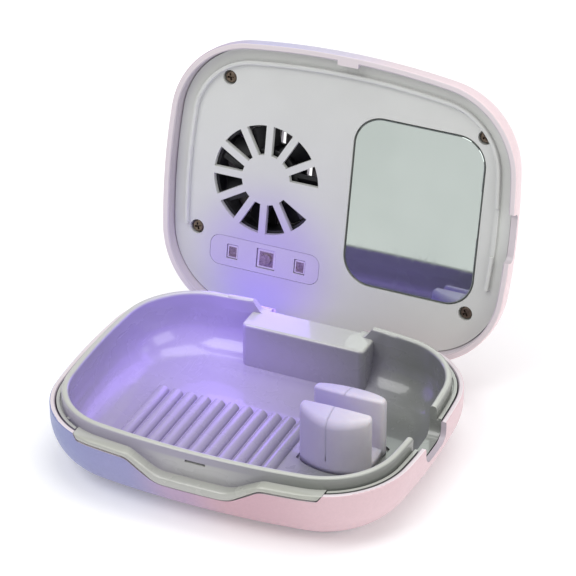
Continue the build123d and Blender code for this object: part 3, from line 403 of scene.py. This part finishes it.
BASE_LACQUER = shell_look(
    "base_lacquer", BASE_TONES, CASE_MIDDLE, (0, 0, 1),
    rim_highlight_tone=(0.82, 0.74, 0.77), inner_shade_tone=(0.46, 0.40, 0.45),
)
LOOKS = {
    "case_shell": BASE_LACQUER,
    "pad_silicone": silicone_look("pad_silicone", (0.52, 0.46, 0.52), (0.46, 0.41, 0.47), 0.62),
    "tray_grey": tray_look(),
    "clip_silicone": silicone_look("clip_silicone", (0.78, 0.75, 0.73), (0.73, 0.70, 0.69), 0.52, 0.85),
    "steel": metal_look("turned_steel", (0.56, 0.56, 0.57), 0.34, (0.2, 1.0, 1.0)),
    "plate_white": plate_look(),
    "screw_nickel": metal_look("screw_nickel", (0.20, 0.155, 0.12), 0.36, stain=0.3, grain=5.0),
    "mirror_glass": mirror_look(),
    "foam_tape": foam_look("foam_tape", (0.06, 0.06, 0.06)),
    "foam_strip": foam_look("foam_strip", (0.09, 0.09, 0.09)),
    "fan_black": moulded("fan_black", (0.007, 0.007, 0.009), 0.15, 0.45, 4.0),
    "magnet": moulded("magnet_ferrite", (0.045, 0.045, 0.05), 0.2, 0.55, 3.0, 0.02),
    "bearing_bronze": metal_look("bearing_bronze", (0.50, 0.33, 0.16), 0.42, stain=0.3),
    "core_steel": metal_look("core_laminations", (0.33, 0.33, 0.35), 0.42, (0.3, 0.3, 6.0)),
    "coil_copper": metal_look("coil_enamel", (0.62, 0.24, 0.09), 0.28, (4.0, 0.3, 0.3), 0.3, 2.0),
    "board_green": board_look("board_green", (0.008, 0.085, 0.032), (0.62, 0.50, 0.26)),
    "board_white": board_look("board_white", (0.62, 0.62, 0.61), (0.55, 0.55, 0.56)),
    # The lamp cover's violet is painted glow of the lamp behind it.
    "lamp_cover": moulded("lamp_cover", (0.52, 0.47, 0.66), 0.03, 0.48, 5.0, 0.008),
    "lamp_package": lamp_look(),
    "chip_black": moulded("chip_resin", (0.018, 0.018, 0.019), 0.2, 0.5, 7.0, 0.01),
    "key_white": moulded("key_satin", (0.74, 0.72, 0.73), 0.03, 0.32, 5.0, 0.005),
    "light_guide": moulded(
        "light_guide", (0.62, 0.60, 0.82), 0.04, 0.28, 3.0, 0.006, Transmission_Weight=0.35
    ),
    "battery_pouch": metal_look("battery_pouch", (0.66, 0.67, 0.69), 0.36, (1.0, 0.4, 1.0), 0.12, 1.5),
    "lead_red": lead_look("lead_red", (0.34, 0.02, 0.015)),
    "lead_black": lead_look("lead_black", (0.02, 0.02, 0.02)),
}
# The lid's shell is in the base shell's slot and has a lacquer of its own.
LID_LACQUER = shell_look(
    "lid_lacquer", LID_TONES, swung(CASE_MIDDLE), -LID_OUT,
    rim_highlight_tone=(0.74, 0.67, 0.69), inner_shade_tone=(0.56, 0.51, 0.54),
)

NODE_SLOTS = {part["node"]: part["material_slot"] for part in frame["record"]["subparts"]}
for name, node in frame["nodes"].items():
    node.data.materials.clear()
    node.data.materials.append(LID_LACQUER if name == "lid_shell" else LOOKS[NODE_SLOTS[name]])


# ---- pieces ----
def add_piece(name, mesh, body, slot, replaced, smooth=True):
    """Puts a mesh in the scene as a piece that rides on a body and stands in for a CAD node."""
    piece = bpy.data.objects.new(name, mesh)
    bpy.context.scene.collection.objects.link(piece)
    mesh.materials.append(LOOKS[slot])
    for face in mesh.polygons:
        face.use_smooth = smooth
    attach(piece, body)
    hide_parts(replaced)


def lofted(name, loops):
    """Closed mesh through equal loops of points, with a fan on each end."""
    shape = bmesh.new()
    rings = [[shape.verts.new(point) for point in loop] for loop in loops]
    count = len(rings[0])
    for lower, upper in zip(rings, rings[1:]):
        for i in range(count):
            j = (i + 1) % count
            shape.faces.new((lower[i], lower[j], upper[j], upper[i]))
    for ring, flip in ((rings[0], True), (rings[-1], False)):
        centre = shape.verts.new(sum((v.co for v in ring), Vector()) / count)
        for i in range(count):
            corner = (ring[i], ring[(i + 1) % count], centre)
            shape.faces.new(corner[::-1] if flip else corner)
    bmesh.ops.recalc_face_normals(shape, faces=shape.faces)
    mesh = bpy.data.meshes.new(name)
    shape.to_mesh(mesh)
    shape.free()
    return mesh


def circle(shape, x, y, z, radius, corners=8):
    """Vertices round a level circle."""
    angles = [2 * math.pi * k / corners for k in range(corners)]
    return [shape.verts.new((x + radius * math.cos(a), y + radius * math.sin(a), z)) for a in angles]


CLIP_LOW, CLIP_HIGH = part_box("brush_clip")
CLIP_MIDDLE_X = (CLIP_LOW.x + CLIP_HIGH.x) / 2
CLIP_HALF_LENGTH = (CLIP_HIGH.x - CLIP_LOW.x) / 2
FRONT_GAP_Y = -2.9 * MM
REAR_GAP_Y = 3.3 * MM
JAW_PINCH = 0.3 * MM
CROWN_FALL = 1.9 * MM
INNER_ROUND = 0.7 * MM
OUTER_ROUND = 1.5 * MM
END_ROUND = 1.0 * MM
FLANK_STEPS = 7
SEAM_SHIFT = -0.8 * MM
SEAM_HALF_WIDTH = 0.16 * MM
SEAM_HEIGHT = 0.035 * MM
SEAM_SPAN = slice(9, 35)

# By side: y of the face towards the gap, of the outer face at the jaw's ends, and of its belly.
JAWS = {
    -1: (FRONT_GAP_Y, FRONT_GAP_Y - 2.5 * MM, CLIP_LOW.y),
    1: (REAR_GAP_Y, REAR_GAP_Y + 2.9 * MM, CLIP_HIGH.y),
}


def jaw_top(side, y):
    """Height of a jaw's crown: highest beside the gap, falling away outwards."""
    gap_y, _, belly_y = JAWS[side]
    across = min(1.0, max(0.0, (y - gap_y) / (belly_y - gap_y)))
    return CLIP_HIGH.z - CROWN_FALL * across**2


def jaw_section(side, u, inset):
    """Points (y, z) round one cross-section of a jaw; u runs from -1 to 1 along it."""
    gap_y, end_y, belly_y = JAWS[side]
    bulge = 1 - u * u
    inner = gap_y - side * JAW_PINCH * bulge + side * inset
    outer = end_y + (belly_y - end_y) * bulge - side * inset
    width = abs(outer - inner)
    inner_round = min(INNER_ROUND, width * 0.4)
    outer_round = min(OUTER_ROUND, width * 0.5)
    bottom = CLIP_LOW.z + inset * 0.5
    inner_rise = jaw_top(side, inner) - inset - inner_round - bottom
    outer_shoulder = jaw_top(side, outer) - inset - outer_round
    points = [(inner, bottom + inner_rise * k / FLANK_STEPS) for k in range(FLANK_STEPS)]
    for k in range(7):
        angle = math.pi / 2 * k / 6
        y = inner + side * inner_round * (1 - math.cos(angle))
        points.append((y, jaw_top(side, y) - inset - inner_round * (1 - math.sin(angle))))
    start, end = inner + side * inner_round, outer - side * outer_round
    for k in range(1, 8):
        y = start + (end - start) * k / 8
        points.append((y, jaw_top(side, y) - inset))
    for k in range(9):
        angle = math.pi / 2 * k / 8
        y = end + side * outer_round * math.sin(angle)
        points.append((y, jaw_top(side, y) - inset - outer_round * (1 - math.cos(angle))))
    for k in range(1, FLANK_STEPS + 1):
        points.append((outer, outer_shoulder - (outer_shoulder - bottom) * k / FLANK_STEPS))
    for k in range(1, 4):
        points.append((outer + (inner - outer) * k / 4, bottom))
    return points


def jaw_mesh(side):
    """One soft jaw, lofted along its length with rounded ends."""
    stations = []
    for k in range(7):
        angle = math.pi / 2 * k / 6
        x = -CLIP_HALF_LENGTH + END_ROUND * (1 - math.cos(angle))
        stations.append((x, END_ROUND * (1 - math.sin(angle))))
    straight = CLIP_HALF_LENGTH - END_ROUND
    far_end = [(-x, inset) for x, inset in reversed(stations)]
    stations += [(-straight + 2 * straight * k / 24, 0.0) for k in range(1, 24)]
    loops = []
    for x, inset in stations + far_end:
        section = jaw_section(side, x / CLIP_HALF_LENGTH, inset)
        loops.append([(CLIP_MIDDLE_X + x, y, z) for y, z in section])
    return lofted(f"clip_jaw_{side}", loops)


BRIDGE_Y = 0.2 * MM
BRIDGE_HALF_WIDTH = 3.9 * MM
BRIDGE_HEIGHT = 3.2 * MM
BRIDGE_END = 0.4 * MM
SADDLE_HALF_WIDTH = 3.0 * MM
SADDLE_DEPTH = 0.8 * MM


def bridge_mesh():
    """Low saddle between the jaws that the handle rests on."""
    steps = 12
    loops = []
    x_low, x_high = CLIP_LOW.x + BRIDGE_END, CLIP_HIGH.x - BRIDGE_END
    for i in range(steps + 1):
        x = x_low + (x_high - x_low) * i / steps
        half_height = BRIDGE_HEIGHT * (1.0 if 0 < i < steps else 0.85) / 2
        loop = []
        for k in range(24):
            angle = 2 * math.pi * k / 24
            rise = math.sin(angle)
            y = BRIDGE_Y + BRIDGE_HALF_WIDTH * math.cos(angle)
            z = CLIP_LOW.z + half_height + half_height * math.copysign(abs(rise) ** 0.5, rise)
            if rise > 0:
                z -= SADDLE_DEPTH * max(0.0, 1 - ((y - BRIDGE_Y) / SADDLE_HALF_WIDTH) ** 2)
            loop.append((x, y, z))
        loops.append(loop)
    return lofted("clip_bridge", loops)


def seam_mesh(side):
    """Low moulding line round a jaw, from the gap over the crown and down the outer flank."""
    x = CLIP_MIDDLE_X + SEAM_SHIFT
    section = jaw_section(side, SEAM_SHIFT / CLIP_HALF_LENGTH, 0.0)
    angles = [2 * math.pi * k / 8 for k in range(8)]
    loops = []
    for y, z in section[SEAM_SPAN]:
        across = [(SEAM_HALF_WIDTH * math.cos(a), SEAM_HEIGHT * math.sin(a)) for a in angles]
        loops.append([Vector((x + wide, y + raised, z + raised)) for wide, raised in across])
    return lofted(f"clip_seam_{side}", loops)


def resample(points, count):
    """The same closed outline with evenly spaced points."""
    loop = [*points, points[0]]
    lengths = [0.0]
    for a, b in zip(loop, loop[1:]):
        lengths.append(lengths[-1] + (b - a).length)
    out = []
    for i in range(count):
        at = lengths[-1] * i / count
        k = next(j for j in range(len(lengths) - 1) if lengths[j + 1] >= at)
        share = (at - lengths[k]) / max(lengths[k + 1] - lengths[k], 1e-9)
        out.append(loop[k].lerp(loop[k + 1], share))
    return out


def join(name, meshes):
    """One mesh of several, which are used up."""
    shape = bmesh.new()
    for mesh in meshes:
        shape.from_mesh(mesh)
        bpy.data.meshes.remove(mesh)
    out = bpy.data.meshes.new(name)
    shape.to_mesh(out)
    shape.free()
    return out


def build_clip():
    parts = [jaw_mesh(-1), jaw_mesh(1), bridge_mesh(), seam_mesh(-1), seam_mesh(1)]
    add_piece("silicone_clip", join("silicone_clip", parts), "base", "clip_silicone", "brush_clip")


PAD_LOW, PAD_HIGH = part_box("rest_pad")
PAD_HALF_DEPTH = 34 * MM
PAD_EDGE_ROUND = 0.45 * MM
TREAD_DEPTH = 0.22 * MM
PIMPLE_PITCH = 3.0 * MM
PIMPLE_RADIUS = 0.8 * MM
ROW_SHARE = 0.866


def pad_outline():
    """The CAD pad's outline, read off the rim of its top face."""
    rim = set()
    for vertex in frame["nodes"]["rest_pad"].data.vertices:
        if abs(vertex.co.z - PAD_HIGH.z) < 0.02 * MM:
            rim.add((round(vertex.co.x, 6), round(vertex.co.y, 6)))
    in_turn = sorted(rim, key=lambda p: math.atan2(p[1], p[0]))
    return resample([Vector(p) for p in in_turn], 160)


def pad_body():
    """Pad with a rounded edge, hollowed underneath by the depth of its tread."""
    tread_z = PAD_LOW.z + TREAD_DEPTH
    levels = [(0.9, tread_z), (0.97, tread_z), (0.975, PAD_LOW.z)]
    for k in range(5):
        angle = math.pi / 2 * k / 4
        scale = 1 - PAD_EDGE_ROUND * (1 - math.sin(angle)) / PAD_HALF_DEPTH
        levels.append((scale, PAD_LOW.z + PAD_EDGE_ROUND * (1 - math.cos(angle))))
    levels.append((1.0, PAD_HIGH.z))
    outline = pad_outline()
    return lofted("pad_body", [[(p.x * scale, p.y * scale, z) for p in outline] for scale, z in levels])


def pad_pimples():
    """Field of low pimples in the hollow, in staggered rows."""
    shape = bmesh.new()
    for row in range(-9, 10):
        for column in range(-12, 13):
            x = (column + 0.5 * (row % 2)) * PIMPLE_PITCH
            y = row * PIMPLE_PITCH * ROW_SHARE
            if (abs(x) / (PAD_HIGH.x * 0.9)) ** 4 + (abs(y) / (PAD_HIGH.y * 0.9)) ** 4 > 0.85:
                continue
            foot = circle(shape, x, y, PAD_LOW.z + TREAD_DEPTH, PIMPLE_RADIUS)
            crown = circle(shape, x, y, PAD_LOW.z, PIMPLE_RADIUS * 0.6)
            for k in range(8):
                following = (k + 1) % 8
                shape.faces.new((foot[following], foot[k], crown[k], crown[following]))
            shape.faces.new(crown[::-1])
            shape.faces.new(foot)
    mesh = bpy.data.meshes.new("pad_pimples")
    shape.to_mesh(mesh)
    shape.free()
    return mesh


def build_pad():
    mesh = join("anti_slip_pad", [pad_body(), pad_pimples()])
    add_piece("anti_slip_pad", mesh, "base", "pad_silicone", "rest_pad", smooth=False)


build_clip()
build_pad()


# ---- studio ----
def floor_look():
    """Matt white paper, lifted a little so that it stays pale between the lights."""
    look = Look("floor_paper", Emission_Color=(1.0, 1.0, 1.0, 1.0), Emission_Strength=0.16)
    base = look.ramp(look.noise(0.01, 2.0), (0.3, (0.89, 0.89, 0.895)), (0.7, (0.90, 0.90, 0.905)))
    return look.finish(base, 0.9)


FLOOR_Z = -0.05 * MM
FLOOR_FRONT_Y = -2.5
SWEEP_Y = 0.9
SWEEP_RADIUS = 0.6
BACKDROP_TOP_Z = 2.2
FLOOR_HALF_WIDTH = 3.0


def build_floor():
    """Pale floor that rises into a backdrop behind the object."""
    profile = [(FLOOR_FRONT_Y, FLOOR_Z), (SWEEP_Y, FLOOR_Z)]
    for k in range(1, 13):
        angle = math.pi / 2 * k / 12
        y = SWEEP_Y + SWEEP_RADIUS * math.sin(angle)
        profile.append((y, FLOOR_Z + SWEEP_RADIUS * (1 - math.cos(angle))))
    profile.append((SWEEP_Y + SWEEP_RADIUS, BACKDROP_TOP_Z))
    shape = bmesh.new()
    rows = []
    for x in (-FLOOR_HALF_WIDTH, FLOOR_HALF_WIDTH):
        rows.append([shape.verts.new((x, y, z)) for y, z in profile])
    for k in range(len(profile) - 1):
        shape.faces.new((rows[0][k], rows[0][k + 1], rows[1][k + 1], rows[1][k]))
    mesh = bpy.data.meshes.new("floor")
    shape.to_mesh(mesh)
    shape.free()
    for face in mesh.polygons:
        face.use_smooth = True
    mesh.materials.append(floor_look())
    floor = bpy.data.objects.new("floor", mesh)
    bpy.context.scene.collection.objects.link(floor)


# Name, place, aim, size in metres and power in watts.
STUDIO_LIGHTS = (
    ("key", (-0.35, -0.55, 0.85), (0, 0, 0.03), 0.6, 4.5),
    ("top", (0.1, 0.15, 0.95), (0, 0.02, 0.03), 0.7, 3.8),
    ("side", (0.75, -0.15, 0.40), (0, 0, 0.04), 0.5, 1.8),
)


def add_light(name, kind, at, power, colour):
    """A point or area light; the caller gives it its size and aim."""
    light = bpy.data.lights.new(name, kind)
    light.energy = power
    light.color = colour
    lamp = bpy.data.objects.new(name, light)
    lamp.location = at
    bpy.context.scene.collection.objects.link(lamp)
    return lamp


def add_area(name, at, towards, size, power, colour=(1, 1, 1)):
    lamp = add_light(name, "AREA", at, power, colour)
    lamp.data.size = size
    lamp.rotation_euler = (Vector(towards) - Vector(at)).to_track_quat("-Z", "Y").to_euler()
    return lamp


def build_world():
    world = bpy.data.worlds.new("studio")
    bpy.context.scene.world = world
    world.use_nodes = True
    background = world.node_tree.nodes["Background"]
    background.inputs["Color"].default_value = (1.0, 1.0, 1.0, 1.0)
    background.inputs["Strength"].default_value = 0.40
    bpy.context.scene.view_settings.view_transform = "Standard"


VIOLET = (0.34, 0.20, 1.0)


def build_glow():
    """Violet light from the lamps, which rides on the lid: a beam over the tray and a soft halo."""
    beam_at, beam_aim = LAMP - LID_OUT * 6 * MM, LAMP - LID_OUT * 40 * MM
    beam = add_area("lamp_beam", beam_at, beam_aim, 30 * MM, 0.009, VIOLET)
    halo_at = LAMP - LID_OUT * 26 * MM - Vector((4 * MM, 0, 10 * MM))
    halo = add_light("lamp_halo", "POINT", halo_at, 0.012, VIOLET)
    halo.data.shadow_soft_size = 14 * MM
    for light in (beam, halo):
        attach(light, "lid")


CAMERA_AT = (0.2932, -0.6340, 0.4706)
CAMERA_TILT = 58.74
CAMERA_TURN = 24.20
CAMERA_LENS = 211.0


def build_camera():
    """Three-quarter view from the front right, looking down at the open case."""
    data = bpy.data.cameras.new("camera")
    data.lens = CAMERA_LENS
    data.sensor_width = 36.0
    data.clip_start = 0.01
    camera = bpy.data.objects.new("camera", data)
    camera.location = CAMERA_AT
    camera.rotation_euler = (math.radians(CAMERA_TILT), 0.0, math.radians(CAMERA_TURN))
    bpy.context.scene.collection.objects.link(camera)
    bpy.context.scene.camera = camera


build_floor()
build_world()
for studio_light in STUDIO_LIGHTS:
    add_area(*studio_light)
build_glow()
build_camera()
